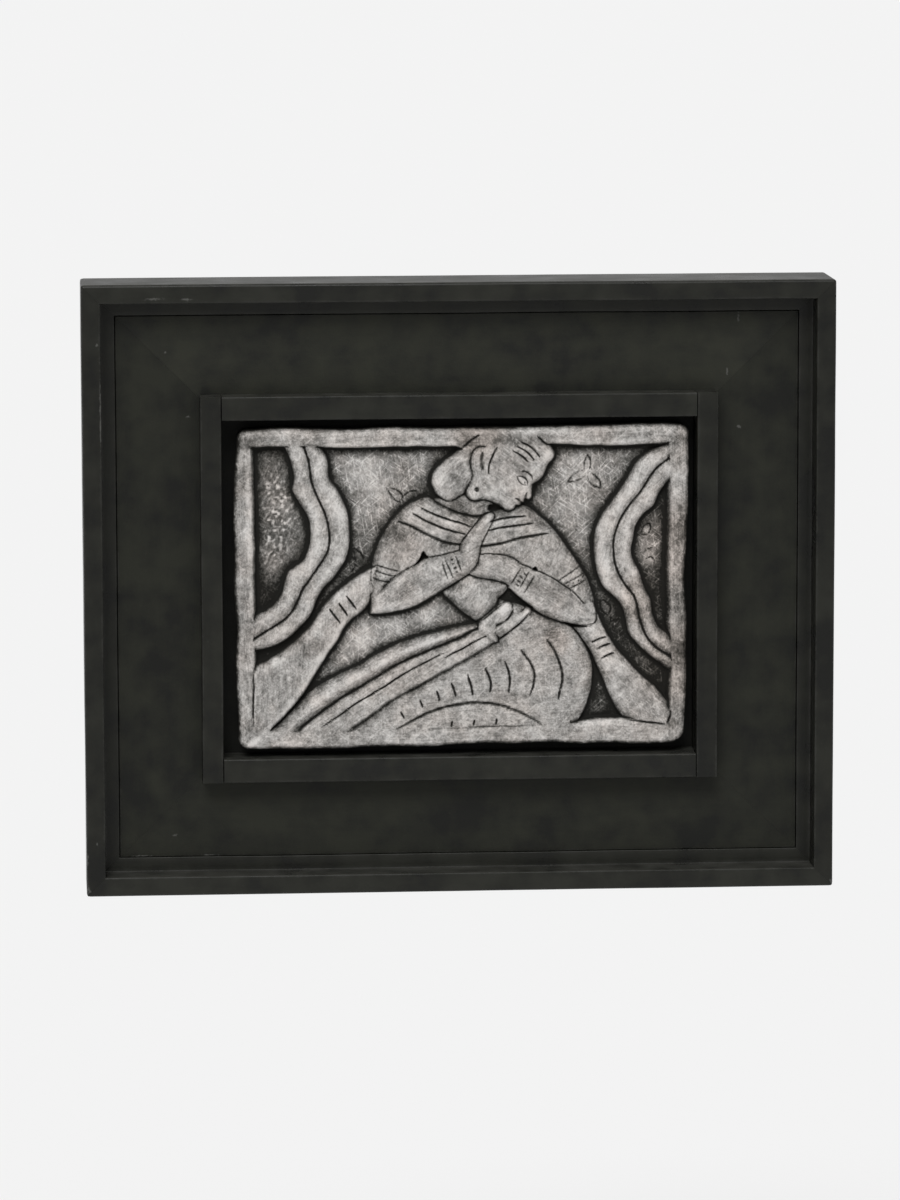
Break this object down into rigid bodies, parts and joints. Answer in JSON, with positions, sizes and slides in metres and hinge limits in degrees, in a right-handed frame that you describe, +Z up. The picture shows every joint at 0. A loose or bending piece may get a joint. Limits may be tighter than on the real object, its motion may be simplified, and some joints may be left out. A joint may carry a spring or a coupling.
{
  "type": "framed clay wall hanging",
  "caption": "Carved clay relief of a seated figure between curtains, set in a deep black-painted wooden box frame that hangs on a wall.",
  "frame": {"origin": "centre of the flat back, which lies against the wall", "axes": "+X to the viewer's right, +Y into the wall, +Z up; the carved front faces -Y"},
  "size_m": [0.4064, 0.045, 0.332],
  "materials": {
    "rail_paint": "satin black paint on wood",
    "panel_paint": "satin black paint on wood, faintly mottled",
    "board_paint": "matt black paint on wood",
    "dry_brushed_clay": "fired clay with a dark wash, dry-brushed in warm pale grey"
  },
  "bodies": {
    "root": {"rail_top": "rail_paint", "rail_bottom": "rail_paint", "rail_left": "rail_paint", "rail_right": "rail_paint", "panel_board_top": "panel_paint", "panel_board_bottom": "panel_paint", "panel_board_left": "panel_paint", "panel_board_right": "panel_paint", "fillet_top": "rail_paint", "fillet_bottom": "rail_paint", "fillet_left": "rail_paint", "fillet_right": "rail_paint", "backing_board": "board_paint", "clay_relief": "dry_brushed_clay"}
  },
  "joints": []
}
